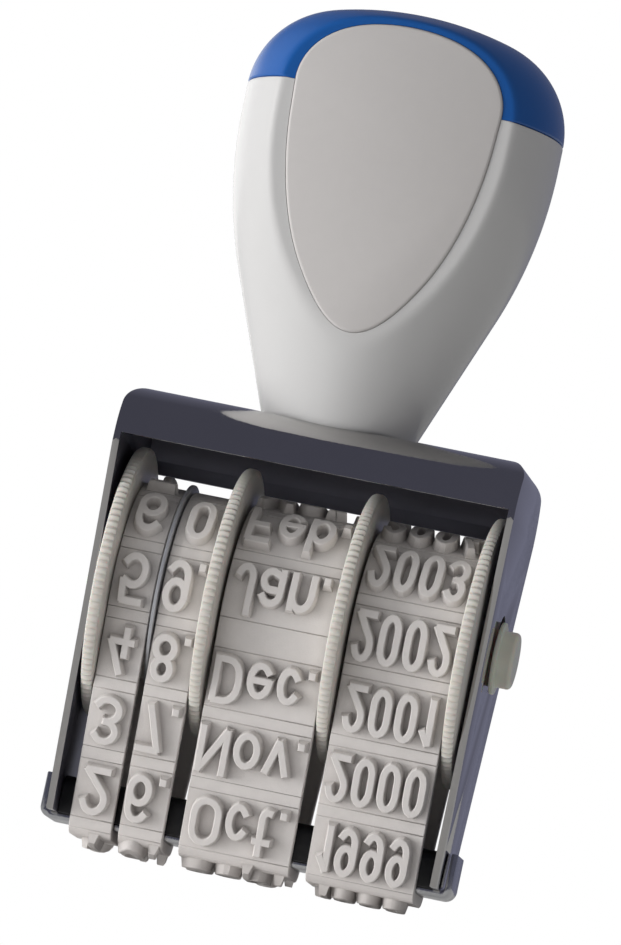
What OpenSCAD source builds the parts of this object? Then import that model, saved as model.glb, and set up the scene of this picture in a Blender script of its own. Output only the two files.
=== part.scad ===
// Hand date stamp with four rubber type bands.
// Millimetres. The origin is the middle of the printing face, +Z runs up to the handle,
// the bands stand side by side along X and the front of the stamp faces -Y.

/* [Type bands] */
// Width of the day tens band
tens_w = 3.85; // [3.5:0.05:6]
// Width of the day units band
units_w = 3.95; // [3.5:0.05:6]
// Width of the month band
month_w = 10; // [7:0.1:13]
// Width of the year band
year_w = 9.75; // [7:0.05:13]
// Thickness of the rubber band under its characters
band_t = 1; // [0.7:0.1:1.4]
// Height of the raised characters above the band
relief = 0.9; // [0.5:0.1:1.2]
// Height of one character along the band
type_tall = 4.4; // [3:0.1:5]
// Number of type rows on each band
type_rows = 13; // [8:1:13]
// How far the set rows stand off the middle of the nose
type_shift = 0.4; // [-0.4:0.1:0.4]
// Bare rubber beside the characters
type_margin = 0.4; // [0.2:0.1:0.8]
// Gap between two characters
type_gap = 0.4; // [0.2:0.1:0.8]
// How deep a character roots in its band
type_root = 0.35; // [0.25:0.05:0.5]

/* [Setting wheels] */
// Radius of the drum that carries a band
drum_r = 8; // [7:0.1:9]
// Radius of the thumb rim
rim_r = 12.2; // [11.8:0.1:13.5]
// Width of the thumb rim
rim_w = 1.2; // [1:0.1:2]
// Number of grip teeth on a thumb rim
rim_teeth = 120; // [48:2:140]
// Depth of the grip teeth
tooth_d = 0.25; // [0.15:0.05:0.5]
// Radius of the axle
axle_r = 2; // [1.5:0.1:3]
// Height of the axle above the nose strip's lower face
axle_rise = 21.9; // [20:0.1:25]
// Thickness of the steel disc between the two day wheels
divider_t = 0.3; // [0.2:0.05:0.5]
// Reach of the divider past the bare band
divider_reach = 0.6; // [0.2:0.1:0.9]
// Free space at each end of the wheel stack
end_gap = 0.15; // [0.15:0.05:0.6]
// Free space between two wheels that turn beside each other
wheel_gap = 0.2; // [0.15:0.05:0.6]

/* [Frame] */
// Thickness of the frame's sheet steel
sheet_t = 0.6; // [0.4:0.1:1]
// Depth of the frame at its shoulders
frame_d = 20; // [18:0.5:24]
// Depth of the side plates at their feet
foot_d = 11.2; // [8:0.2:16]
// Clear height between the thumb rims and the crown
crown_gap = 4.1; // [3:0.1:6]
// Radius of the rolled front and rear shoulders
shoulder_roll = 5; // [3.5:0.1:7]
// Drop from the crown to the free edge of the rolled shoulders
lip_drop = 4.7; // [3:0.1:6]
// Outer radius of the two upper corners, seen from the front
corner_r = 1.8; // [1:0.1:4]
// How far each side plate leans in from shoulder to foot
plate_lean = 0.45; // [0:0.05:0.8]
// How far the axle slots run up above the bushes
slot_rise = 1.2; // [0.4:0.1:2]

/* [Nose] */
// Thickness of the steel nose strip
strip_t = 0.6; // [0.4:0.05:0.8]
// Depth of the nose strip
strip_d = 5.2; // [4.6:0.1:7]
// Height of the nose block on the strip
block_h = 3.4; // [2:0.1:5]
// Radius of the nose block's upper edges
block_r = 1; // [0.5:0.1:1.4]
// Gap between a side plate and the hook outside it
hook_gap = 0.4; // [0.2:0.05:0.8]
// Height of the hooks above the strip
hook_h = 4; // [2.5:0.1:7]

/* [Axle bushes] */
// Wall of the bush round the axle end
bush_wall = 0.55; // [0.4:0.05:1]
// Radius that the bush's collar adds to its sleeve
collar_reach = 0.7; // [0.4:0.1:1.2]
// Thickness of the bush's collar
collar_t = 0.4; // [0.3:0.1:0.8]
// Length of the button outside the collar
button_l = 1.4; // [0.8:0.1:2.5]
// Length of the low head at the left end
left_button_l = 0.5; // [0.5:0.1:2.5]
// Rounding of the button's edge
button_r = 0.4; // [0.2:0.1:0.6]

/* [Handle] */
// Radius of the handle where it meets the frame
base_r = 6.9; // [6:0.1:9]
// Largest radius of the handle
grip_r = 14.35; // [12:0.05:17]
// Depth of the widest place under the handle's top
grip_drop = 11; // [10.4:0.1:13]
// Height of the handle above the crown
handle_h = 37.8; // [36.5:0.1:42]
// Radius of the handle's flank curve
flank_r = 40; // [35:1:45]
// Radius of the rounded shoulder under the dome
grip_corner_r = 8; // [6:0.1:9]
// Radius of the dome on top
dome_r = 30; // [26:0.5:40]
// How far the front and rear flats lie behind the frame's shoulders
flat_set = 0.4; // [-0.5:0.1:1]
// Border between the front flat's edge and its inlaid panel
panel_border = 0.95; // [0.4:0.05:1.4]
// Thickness of the inlaid panel
panel_t = 1; // [0.6:0.1:1.4]
// Height of the cap from its lower edge to the handle's top
cap_h = 9.2; // [9.1:0.1:10.5]
// Wall of the cap over the handle's core
cap_wall = 1.6; // [1:0.1:2.2]

/* [Fixing] */
// Radius of the handle screw's shank
screw_r = 1.5; // [1:0.1:2]
// Length of the handle screw under its head
screw_l = 14; // [8:0.5:22]
// Radius of the screw's head
head_r = 2.8; // [2.2:0.1:3.5]
// Height of the screw's head
head_h = 1.4; // [1:0.1:1.8]
// Radius that the washer adds to the head
washer_reach = 0.7; // [0.4:0.1:1.2]
// Thickness of the washer
washer_t = 0.5; // [0.3:0.1:0.8]
// Width of the screwdriver slot
driver_w = 0.7; // [0.5:0.1:1]

/* [Fits] */
// Radial running clearance of a wheel on the axle
run_fit = 0.05; // [0.02:0.01:0.1]
// Clearance between a turning drum and its band
drum_fit = 0.15; // [0.1:0.05:0.3]
// Side clearance between a band and its wheel or neighbour
band_fit = 0.07; // [0.05:0.01:0.2]
// Side clearance between the divider and the wheels beside it
divider_fit = 0.1; // [0.05:0.05:0.3]
// Clearance of seated pieces that do not move
seat_fit = 0.03; // [0.02:0.01:0.05]

/* [Hidden] */
$fn = 64;

// Heights
strip_z = relief + band_t;
block_z = strip_z + strip_t;
axle_z = strip_z + axle_rise;
crown_z = axle_z + rim_r + crown_gap + sheet_t;
lip_z = crown_z - lip_drop;
roll_z = crown_z - shoulder_roll;
roll_y = frame_d / 2 - shoulder_roll;

// Places along X, from the left end of the wheel stack
side_free = 2 * band_fit;
day_gap = divider_t + 2 * divider_fit;
stack_w = 4 * rim_w + tens_w + units_w + month_w + year_w + 4 * side_free + day_gap + 2 * wheel_gap;
stack_x = -stack_w / 2;
tens_x = stack_x + rim_w;
divider_x = tens_x + tens_w + side_free + divider_fit;
units_x = divider_x + divider_t + divider_fit;
month_x = units_x + units_w + side_free + rim_w + wheel_gap;
year_x = month_x + month_w + side_free + rim_w + wheel_gap;
frame_w = stack_w + 2 * (end_gap + plate_lean + sheet_t);
plate_x = frame_w / 2;
inner_x = plate_x - sheet_t;
foot_x = plate_x - plate_lean;
taper_z = roll_z - sheet_t;
// Outer face of a side plate at the axle
boss_x = plate_x - plate_lean * (taper_z - axle_z) / (taper_z - block_z);

// The band's path round the drum and the nose, seen along X
path_r = drum_r + drum_fit;
nose_y = strip_d / 2;
nose_r = strip_t;
nose_z = strip_z + nose_r;
centre_gap = sqrt(pow(nose_y, 2) + pow(axle_z - nose_z, 2));
// Angle from straight down to the normal of the straight run
run_angle = atan(nose_y / (axle_z - nose_z)) + acos((path_r - nose_r) / centre_gap);
run_l = sqrt(pow(centre_gap, 2) - pow(path_r - nose_r, 2));
// Lengths along the outer face of the band, from the middle of the nose
corner_end = nose_y + (nose_r + band_t) * run_angle * PI / 180;
run_end = corner_end + run_l;
band_half = run_end + (path_r + band_t) * (180 - run_angle) * PI / 180;
row_pitch = 2 * band_half / type_rows;

// Bushes and slots
sleeve_r = axle_r + bush_wall;
collar_r = sleeve_r + collar_reach;
slot_r = sleeve_r + run_fit;

// Handle profile, with heights counted from the crown
flat_y = frame_d / 2 - flat_set;
grip_z = handle_h - grip_drop;
cap_z = handle_h - cap_h;
flank_centre = grip_r - flank_r;
flank_gap = sqrt(pow(base_r - flank_centre, 2) + pow(grip_z, 2));
flank_angle = atan(grip_z / (base_r - flank_centre)) - acos(flank_r / flank_gap);
flank_z = grip_z - flank_r * sin(flank_angle);
dome_z = handle_h - dome_r;
corner_x = grip_r - grip_corner_r;
corner_z = dome_z + sqrt(pow(dome_r - grip_corner_r, 2) - pow(corner_x, 2));
dome_start = [0, dome_z] + dome_r * [corner_x, corner_z - dome_z] / (dome_r - grip_corner_r);

// Radius of the turned handle at a height
function chord(r, rise) = sqrt(max(0, r * r - rise * rise));
function handle_r(z) = z < flank_z ? base_r + z * tan(flank_angle)
    : z < grip_z ? flank_centre + chord(flank_r, grip_z - z)
    : z < corner_z ? grip_r
    : z < dome_start[1] ? corner_x + chord(grip_corner_r, z - corner_z)
    : chord(dome_r, z - dome_z);

// Lowest and highest point of the handle's flats
cone_low = (flat_y - base_r) / tan(flank_angle);
flat_low = cone_low < flank_z ? cone_low : grip_z - chord(flank_r, flat_y - flank_centre);
flat_high = flat_y < dome_start[0] ? dome_z + chord(dome_r, flat_y) : corner_z + chord(grip_corner_r, flat_y - corner_x);

// Edge of a flat, with share running from 0 at its foot to 1 at its top and on down the other side
panel_steps = 40;
function flat_z(share) = flat_low + (flat_high - flat_low) * (1 - cos(180 * share)) / 2;
function flat_edge(share) = [sign(sin(180 * share)) * chord(handle_r(flat_z(share)), flat_y), flat_z(share)];
function edge_way(share) = flat_edge(share + 1 / panel_steps) - flat_edge(share - 1 / panel_steps);
function panel_edge(share, border) = flat_edge(share)
    + border * [-edge_way(share)[1], edge_way(share)[0]] / norm(edge_way(share));

function on_circle(centre, r, angle) = centre + r * [-sin(angle), -cos(angle)];

// A disc standing across X, from x to x + w
module across(x, w) translate([x, 0, axle_z]) rotate([90, 0, 90]) linear_extrude(w) children();

// An outline drawn in Y and Z, run along X
module along_x(x, w) translate([x, 0, 0]) rotate([90, 0, 90]) linear_extrude(w) children();

// Outline of the band's path, grown outwards
module band_outline(grow) {
    r = path_r + grow;
    corner = nose_r + grow;
    top = on_circle([0, axle_z], r, run_angle);
    foot = on_circle([-nose_y, nose_z], corner, run_angle);
    translate([0, axle_z]) circle(r);
    for (side = [-1, 1]) translate([side * nose_y, nose_z]) circle(corner);
    polygon([
        top, foot, [-nose_y, nose_z - corner], [nose_y, nose_z - corner],
        [-foot[0], foot[1]], [-top[0], top[1]], [0, axle_z]
    ]);
}

// Puts a flat piece on the band's outer face, s along the band from the middle of the nose
module on_band(s) {
    if (s < 0) mirror([0, 1, 0]) on_band(-s) children();
    else {
        on_corner = s > nose_y && s <= corner_end;
        on_wheel = s > run_end;
        corner = nose_r + band_t;
        angle = s <= nose_y ? 0
            : on_corner ? (s - nose_y) / corner * 180 / PI
            : on_wheel ? run_angle + (s - run_end) / (path_r + band_t) * 180 / PI
            : run_angle;
        run = [-cos(run_angle), sin(run_angle)];
        place = s <= nose_y ? [-s, nose_z - corner]
            : on_corner ? on_circle([-nose_y, nose_z], corner, angle)
            : on_wheel ? on_circle([0, axle_z], path_r + band_t, angle)
            : on_circle([-nose_y, nose_z], corner, run_angle) + (s - corner_end) * run;
        translate([0, place[0], place[1]]) rotate([180 - angle, 0, 0]) children();
    }
}

// A rubber band with a row of raised character blanks in each place
module type_band(x, w, characters) {
    free_w = w - 2 * type_margin - (characters - 1) * type_gap;
    char_w = free_w / characters;
    color("silver") union() {
        along_x(x, w) difference() {
            band_outline(band_t);
            band_outline(0);
        }
        for (row = [0 : type_rows - 1], c = [0 : characters - 1])
            on_band((row - floor(type_rows / 2)) * row_pitch + type_shift)
                translate([x + type_margin + c * (char_w + type_gap), -type_tall / 2, -type_root])
                    cube([char_w, type_tall, relief + type_root]);
    }
}

// Round rim with pointed grip teeth
module rim_outline() {
    step = 360 / rim_teeth;
    polygon([
        for (i = [0 : rim_teeth - 1], half = [0, 1])
            (rim_r - half * tooth_d) * [cos((i + half / 2) * step), sin((i + half / 2) * step)]
    ]);
}

// A drum for one band with its thumb rim at the left or right end
module setting_wheel(x, w, rim_left) {
    drum_w = w + side_free;
    rim_x = rim_left ? x - rim_w : x + drum_w;
    color("ivory") difference() {
        union() {
            across(x, drum_w) circle(drum_r);
            across(rim_x, rim_w) rim_outline();
        }
        across(min(x, rim_x) - rim_w, drum_w + 3 * rim_w) circle(axle_r + run_fit);
    }
}

// Crown with rolled shoulders over a straight block, seen from the side
module crown_side(inset) {
    half = frame_d / 2 - inset;
    for (side = [-1, 1]) translate([side * roll_y, roll_z]) circle(shoulder_roll - inset);
    translate([-half, block_z]) square([2 * half, roll_z - block_z]);
    translate([-roll_y, axle_z]) square([2 * roll_y, crown_z - inset - axle_z]);
}

// Whole side view, with plates that taper from under the shoulders to their feet
module frame_side() {
    half = frame_d / 2;
    foot = foot_d / 2;
    difference() {
        crown_side(0);
        for (side = [-1, 1]) polygon([
            [side * half, taper_z], [side * foot, block_z], [side * foot, 0],
            [side * frame_d, 0], [side * frame_d, taper_z]
        ]);
    }
}

// Front view of the frame: two rounded upper corners and plates that lean in a little
module frame_front(inset) {
    half = plate_x - inset;
    foot = foot_x - inset;
    r = corner_r - inset;
    top = crown_z - inset;
    difference() {
        union() {
            for (side = [-1, 1]) translate([side * (half - r), top - r]) circle(r);
            translate([-half, 0]) square([2 * half, top - r]);
            translate([r - half, axle_z]) square([2 * (half - r), top - axle_z]);
        }
        for (side = [-1, 1]) polygon([
            [side * half, taper_z], [side * foot, block_z], [side * foot, -sheet_t],
            [side * frame_w, -sheet_t], [side * frame_w, taper_z]
        ]);
    }
}

module across_y(depth) rotate([90, 0, 0]) translate([0, 0, -depth / 2]) linear_extrude(depth) children();

module axle_slot() {
    hull_free = 4 * sheet_t + frame_w;
    along_x(-hull_free / 2, hull_free) {
        translate([0, axle_z]) circle(slot_r);
        translate([0, axle_z + slot_rise]) circle(slot_r);
        translate([-slot_r, axle_z]) square([2 * slot_r, slot_rise]);
    }
}

module frame() {
    color("slategray") difference() {
        intersection() {
            across_y(2 * frame_d) frame_front(0);
            along_x(-frame_w, 2 * frame_w) frame_side();
        }
        intersection() {
            across_y(3 * frame_d) frame_front(sheet_t);
            union() {
                along_x(-frame_w, 2 * frame_w) crown_side(sheet_t);
                translate([-frame_w, -frame_d, 0]) cube([2 * frame_w, 2 * frame_d, lip_z]);
            }
        }
        axle_slot();
        translate([0, 0, crown_z - 2 * sheet_t]) cylinder(h = 3 * sheet_t, r = screw_r + run_fit);
    }
}

// Steel strip under the nose block, hooked round the feet of both side plates
module nose_strip() {
    bend = hook_gap + strip_t;
    color("lightsteelblue") across_y(strip_d) {
        translate([-foot_x, strip_z]) square([2 * foot_x, strip_t]);
        for (side = [-1, 1]) translate([side * foot_x, strip_z + bend]) {
            difference() {
                circle(bend);
                circle(hook_gap);
                translate([-bend, 0]) square(2 * bend);
                translate([side > 0 ? -bend : 0, -bend]) square(bend);
            }
            translate([side > 0 ? hook_gap : -bend, 0]) square([strip_t, hook_h - bend]);
        }
    }
}

// Plastic block that holds the bands square behind the printing face
module nose_block() {
    half = nose_y + nose_r - drum_fit;
    top = block_z + block_h;
    block_x = foot_x - sheet_t - seat_fit;
    color("#1c1c1e") along_x(-block_x, 2 * block_x) {
        translate([-half, block_z]) square([2 * half, block_h - block_r]);
        translate([block_r - half, block_z]) square([2 * (half - block_r), block_h]);
        for (side = [-1, 1]) translate([side * (half - block_r), top - block_r]) circle(block_r);
    }
}

module axle() {
    color("gainsboro") across(-boss_x - collar_t, 2 * (boss_x + collar_t)) circle(axle_r);
}

// Bush with a sleeve in the slot, a collar on the plate and a rounded button of length l outside
module bush(l) {
    collar_x = boss_x + 2 * seat_fit;
    sleeve_x = boss_x - sheet_t + seat_fit;
    color("beige") translate([0, 0, axle_z]) rotate([0, 90, 0]) difference() {
        union() {
            translate([0, 0, sleeve_x]) cylinder(h = collar_x + collar_t - sleeve_x, r = sleeve_r);
            translate([0, 0, collar_x]) cylinder(h = collar_t, r = collar_r);
            translate([0, 0, collar_x + collar_t]) rotate_extrude() {
                square([sleeve_r, l - button_r]);
                square([sleeve_r - button_r, l]);
                translate([sleeve_r - button_r, l - button_r]) circle(button_r);
            }
        }
        translate([0, 0, sleeve_x - sheet_t]) cylinder(h = boss_x + collar_t - sleeve_x + sheet_t, r = axle_r + seat_fit);
    }
}

module bush_left() mirror([1, 0, 0]) bush(left_button_l);
module bush_right() bush(button_l);

module divider_disc() {
    color("lightgray") across(divider_x, divider_t) difference() {
        circle(path_r + band_t + divider_reach);
        circle(axle_r + seat_fit);
    }
}

module wheel_tens() setting_wheel(tens_x, tens_w, true);
module wheel_units() setting_wheel(units_x, units_w, false);
module wheel_month() setting_wheel(month_x, month_w, false);
module wheel_year() setting_wheel(year_x, year_w, false);

module band_tens() type_band(tens_x + band_fit, tens_w, 1);
module band_units() type_band(units_x + band_fit, units_w, 1);
module band_month() type_band(month_x + band_fit, month_w, 4);
module band_year() type_band(year_x + band_fit, year_w, 4);

// Half outline of the handle, drawn inwards by inset, from the crown upwards
module handle_half(inset) {
    corner = grip_corner_r - inset;
    dome = dome_r - inset;
    widest = grip_r - inset;
    meet = [0, dome_z] + dome * [corner_x, corner_z - dome_z] / (dome_r - grip_corner_r);
    tangent = [flank_centre, grip_z] + (flank_r - inset) * [cos(flank_angle), -sin(flank_angle)];
    low = -shoulder_roll;
    low_r = tangent[0] - (tangent[1] - low) * tan(flank_angle);
    polygon([[0, low], [low_r, low], tangent, [0, grip_z]]);
    intersection() {
        translate([flank_centre, grip_z]) circle(flank_r - inset);
        square([2 * grip_r, corner_z]);
    }
    translate([0, grip_z]) square([widest, corner_z - grip_z]);
    intersection() {
        translate([corner_x, corner_z]) circle(corner);
        translate([0, grip_z]) square(2 * grip_r);
    }
    polygon([[0, grip_z], [corner_x, grip_z], [corner_x, corner_z], meet, [0, meet[1]]]);
    intersection() {
        translate([0, dome_z]) circle(dome);
        translate([0, grip_z]) square([meet[0], dome]);
    }
}

// The part of the half outline above the cap's lower edge, raised by lift
module cap_half(inset, lift) {
    difference() {
        handle_half(inset);
        translate([0, -handle_h]) square([2 * grip_r, handle_h + cap_z + lift]);
    }
}

// Outline of the inlaid panel as a plate of thickness t, with its rear face at y
module panel_plate(border, y, t) {
    translate([0, y, crown_z]) rotate([90, 0, 0]) linear_extrude(t)
        polygon([for (i = [0:2 * panel_steps - 1]) panel_edge(i / panel_steps, border)]);
}

// The recess of the inlaid front panel
module panel_recess() panel_plate(panel_border - seat_fit, panel_t + seat_fit - flat_y, 2 * panel_t);

module handle_body() {
    color("whitesmoke") difference() {
        intersection() {
            translate([0, 0, crown_z]) rotate_extrude() {
                difference() {
                    handle_half(0);
                    translate([0, cap_z]) square([2 * grip_r, handle_h]);
                }
                handle_half(cap_wall + seat_fit);
            }
            translate([-grip_r, -flat_y, 0]) cube([2 * grip_r, 2 * flat_y, 2 * crown_z]);
        }
        panel_recess();
        along_x(-frame_w, 2 * frame_w) translate([0, seat_fit]) crown_side(0);
        translate([0, 0, crown_z - shoulder_roll]) cylinder(h = screw_l + shoulder_roll, r = screw_r + seat_fit);
    }
}

module handle_cap() {
    // Turned border that is as wide as the panel's own beside the widest place
    border = grip_r - norm([chord(grip_r, flat_y) - panel_border, flat_y]);
    color("royalblue") difference() {
        intersection() {
            translate([0, 0, crown_z]) rotate_extrude() difference() {
                cap_half(0, seat_fit);
                handle_half(cap_wall);
            }
            translate([-grip_r, -flat_y, crown_z]) cube([2 * grip_r, 2 * flat_y, 2 * handle_h]);
        }
        intersection() {
            translate([0, 0, crown_z]) rotate_extrude() cap_half(border - seat_fit, -panel_t);
            translate([-2 * grip_r, panel_t + seat_fit - flat_y - grip_r, crown_z]) cube([4 * grip_r, grip_r, 2 * handle_h]);
        }
    }
}

module front_panel() {
    color("darkgray") panel_plate(panel_border, panel_t - flat_y, panel_t);
}

// Washer and screw under the crown, holding the handle down
module screw_washer() {
    color("silver") translate([0, 0, crown_z - sheet_t - washer_t]) difference() {
        cylinder(h = washer_t, r = head_r + washer_reach);
        translate([0, 0, -washer_t]) cylinder(h = 3 * washer_t, r = screw_r + seat_fit);
    }
}

module handle_screw() {
    under = crown_z - sheet_t - washer_t;
    color("silver") difference() {
        union() {
            translate([0, 0, under - head_h]) cylinder(h = head_h, r = head_r);
            translate([0, 0, under]) cylinder(h = screw_l, r = screw_r);
        }
        translate([-head_r, -driver_w / 2, under - 1.5 * head_h]) cube([2 * head_r, driver_w, head_h]);
    }
}

frame();
nose_strip();
nose_block();
axle();
bush_left();
bush_right();
divider_disc();
wheel_tens();
wheel_units();
wheel_month();
wheel_year();
band_tens();
band_units();
band_month();
band_year();
handle_body();
handle_cap();
front_panel();
handle_screw();
screw_washer();
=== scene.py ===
"""Looks of a hand date stamp with four type bands, built around its CAD frame."""

import logging
import math
from dataclasses import dataclass, field
from enum import Enum
from typing import Callable, Optional, Sequence, Union

import bmesh
import bpy
from mathutils import Matrix, Vector

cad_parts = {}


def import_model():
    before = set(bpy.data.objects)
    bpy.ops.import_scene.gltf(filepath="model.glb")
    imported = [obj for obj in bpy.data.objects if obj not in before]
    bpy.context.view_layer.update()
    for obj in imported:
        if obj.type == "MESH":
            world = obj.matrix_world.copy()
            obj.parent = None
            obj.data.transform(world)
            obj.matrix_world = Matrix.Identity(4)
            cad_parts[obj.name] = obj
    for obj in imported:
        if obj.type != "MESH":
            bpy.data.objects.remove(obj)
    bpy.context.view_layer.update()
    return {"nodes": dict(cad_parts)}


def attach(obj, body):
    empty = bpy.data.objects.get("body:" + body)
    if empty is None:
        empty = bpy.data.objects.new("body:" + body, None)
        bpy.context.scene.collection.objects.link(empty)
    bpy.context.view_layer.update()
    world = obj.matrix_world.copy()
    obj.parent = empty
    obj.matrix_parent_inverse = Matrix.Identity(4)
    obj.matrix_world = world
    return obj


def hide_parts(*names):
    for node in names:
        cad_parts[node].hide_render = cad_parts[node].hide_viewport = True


LOG = logging.getLogger("date_stamp")
MM = 0.001
TINY = 1e-4
WELD = 1e-6
FLAT_DEGREES = 0.5
ROUND = 0.5
ARC_DEGREES = 20
Colour = tuple[float, float, float]
Number = Union[int, float]


def linear(rgb: Sequence[Number]) -> tuple[float, float, float, float]:
    """Turns a colour written 0 to 255 into linear light.

    Args:
        rgb: Red, green and blue as they read on a screen.

    Returns:
        Linear red, green, blue and a full alpha.
    """
    def one(value: Number) -> float:
        """One channel from screen value to linear light."""
        v = value / 255
        return v / 12.92 if v <= 0.04045 else ((v + 0.055) / 1.055) ** 2.4
    return (one(rgb[0]), one(rgb[1]), one(rgb[2]), 1.0)


class Sock:
    """A node socket that takes part in Python arithmetic by adding Math nodes."""

    def __init__(self, graph: "Graph", socket: bpy.types.NodeSocket) -> None:
        """Keeps the graph and the output socket."""
        self.graph = graph
        self.socket = socket

    def _math(self, operation: str, a: "Value", b: "Value") -> "Sock":
        """Adds one Math node for a and b."""
        return self.graph.add("ShaderNodeMath", {"operation": operation}, {0: a, 1: b})

    def __add__(self, other: "Value") -> "Sock":
        """self + other."""
        return self._math("ADD", self, other)

    def __radd__(self, other: "Value") -> "Sock":
        """other + self."""
        return self._math("ADD", other, self)

    def __mul__(self, other: "Value") -> "Sock":
        """self * other."""
        return self._math("MULTIPLY", self, other)

    def __rmul__(self, other: "Value") -> "Sock":
        """other * self."""
        return self._math("MULTIPLY", other, self)


Value = Union[Sock, Number, Sequence[Number]]


class Graph:
    """The node tree of one material or of the world."""

    def __init__(self, tree: bpy.types.NodeTree) -> None:
        """Empties the tree and keeps it."""
        self.tree = tree
        tree.nodes.clear()

    def add(self, kind: str, settings: Optional[dict] = None, inputs: Optional[dict] = None,
            output: Union[int, str] = 0) -> Sock:
        """Adds a node.

        Args:
            kind: The node's type name.
            settings: Values of the node itself, set first.
            inputs: Values or links by socket name or number.
            output: The output socket to hand back.

        Returns:
            The wrapped output socket.
        """
        node = self.tree.nodes.new(kind)
        for name, value in (settings or {}).items():
            setattr(node, name, value)
        for key, value in (inputs or {}).items():
            socket = node.inputs[key]
            if isinstance(value, Sock):
                self.tree.links.new(value.socket, socket)
            else:
                socket.default_value = value
        return Sock(self, node.outputs[output]) if node.outputs else Sock(self, None)

    def place(self) -> Sock:
        """Object coordinates."""
        return self.add("ShaderNodeTexCoord", output="Object")

    def noise(self, scale: float, detail: float) -> Sock:
        """Noise over the object.

        Args:
            scale: Bumps per metre.
            detail: Octaves of finer noise.

        Returns:
            The noise value, about 0.3 to 0.7.
        """
        inputs = {"Vector": self.place(), "Scale": scale, "Detail": detail}
        return self.add("ShaderNodeTexNoise", {}, inputs, "Fac")

    def ramp(self, value: Sock, low: float, high: float, a: float = 0.0, b: float = 1.0) -> Sock:
        """Spreads value from low..high to a..b, held at the ends."""
        settings = {"clamp": True}
        inputs = {"Value": value, "From Min": low, "From Max": high, "To Min": a, "To Max": b}
        return self.add("ShaderNodeMapRange", settings, inputs)

    def mix(self, factor: Value, a: Value, b: Value) -> Sock:
        """Mixes two colours, by the numbers of the node's colour sockets."""
        return self.add("ShaderNodeMix", {"data_type": "RGBA"}, {0: factor, 6: a, 7: b}, 2)

    def larger(self, a: Value, b: Value) -> Sock:
        """The larger of two values."""
        return self.add("ShaderNodeMath", {"operation": "MAXIMUM"}, {0: a, 1: b})

    def rays(self, *kinds: str) -> list[Sock]:
        """Light Path's tests for kinds of ray, such as Camera."""
        return [self.add("ShaderNodeLightPath", output=f"Is {kind} Ray") for kind in kinds]

    def bump(self, height: Value, distance: float, strength: float = 1.0) -> Sock:
        """A bumped normal."""
        return self.add("ShaderNodeBump", {}, {"Height": height, "Distance": distance, "Strength": strength})


@dataclass(frozen=True)
class Finish:
    """A finish that all materials share the make-up of: two tones, grain and gloss."""

    name: str
    slot: str
    tone: Colour
    fleck: Colour
    roughness: float
    metallic: float = 0.0
    coat: float = 0.0
    fleck_scale: float = 900.0
    fleck_share: float = 0.25
    grain_scale: float = 4000.0
    grain_depth: float = 0.00001
    rough_spread: float = 0.06
    subsurface: float = 0.0
    subsurface_reach: float = 0.001
    coat_roughness: float = 0.05
    # Painted shade: faces marked inside take this darker tone, together with a rougher plating.
    inside_shade_tone: Optional[Colour] = None
    inner_rough: float = 0.4
    # Painted shade: an ambient occlusion test darkens the colour in recesses and under overhangs, standing
    # partly for shade there and partly for dust and ink.
    shade_and_grime: float = 0.0
    shade_and_grime_tone: Colour = (112, 107, 103)
    shade_and_grime_reach: float = 0.0012
    shade_and_grime_samples: int = 8
    shade_and_grime_range: tuple[float, float] = (0.3, 0.95)
    cloud_range: tuple[float, float] = (0.35, 0.75)
    rough_range: tuple[float, float] = (0.35, 0.65)

    def material(self) -> bpy.types.Material:
        """The finish as a node material, made once.

        Returns:
            The material.
        """
        known = bpy.data.materials.get(self.name)
        if known:
            return known
        made = bpy.data.materials.new(self.name)
        made.use_nodes = True
        g = Graph(made.node_tree)
        cloud = g.noise(self.fleck_scale, detail=4.0)
        grain = g.noise(self.grain_scale, detail=2.0)
        flecked = g.ramp(cloud, *self.cloud_range, 0.0, self.fleck_share)
        colour = g.mix(flecked, linear(self.tone), linear(self.fleck))
        # Painted shade in recesses and under overhangs, found by ambient occlusion; partly also dust and ink.
        if self.shade_and_grime:
            reach = {"Distance": self.shade_and_grime_reach}
            open_air = g.add("ShaderNodeAmbientOcclusion", {"samples": self.shade_and_grime_samples}, reach, "AO")
            shade_and_grime_share = g.ramp(open_air, *self.shade_and_grime_range, self.shade_and_grime, 0.0)
            colour = g.mix(shade_and_grime_share, colour, linear(self.shade_and_grime_tone))
        spread = self.rough_spread / 2
        rough = g.ramp(cloud * 0.5 + grain * 0.5, *self.rough_range, self.roughness - spread,
                       self.roughness + spread)
        # Painted shade on the faces marked inside, plus a rougher finish there.
        if self.inside_shade_tone:
            inside = g.add("ShaderNodeAttribute", {"attribute_name": "inside"}, {}, "Fac")
            colour = g.mix(inside, colour, linear(self.inside_shade_tone))
            rough = rough + inside * self.inner_rough
        shader = g.add("ShaderNodeBsdfPrincipled", {}, {
            "Base Color": colour, "Roughness": rough, "Metallic": self.metallic,
            "Coat Weight": self.coat, "Coat Roughness": self.coat_roughness,
            "Subsurface Weight": self.subsurface, "Subsurface Scale": self.subsurface_reach,
            "Normal": g.bump(grain, self.grain_depth),
        })
        g.add("ShaderNodeOutputMaterial", {}, {"Surface": shader})
        return made


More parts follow.
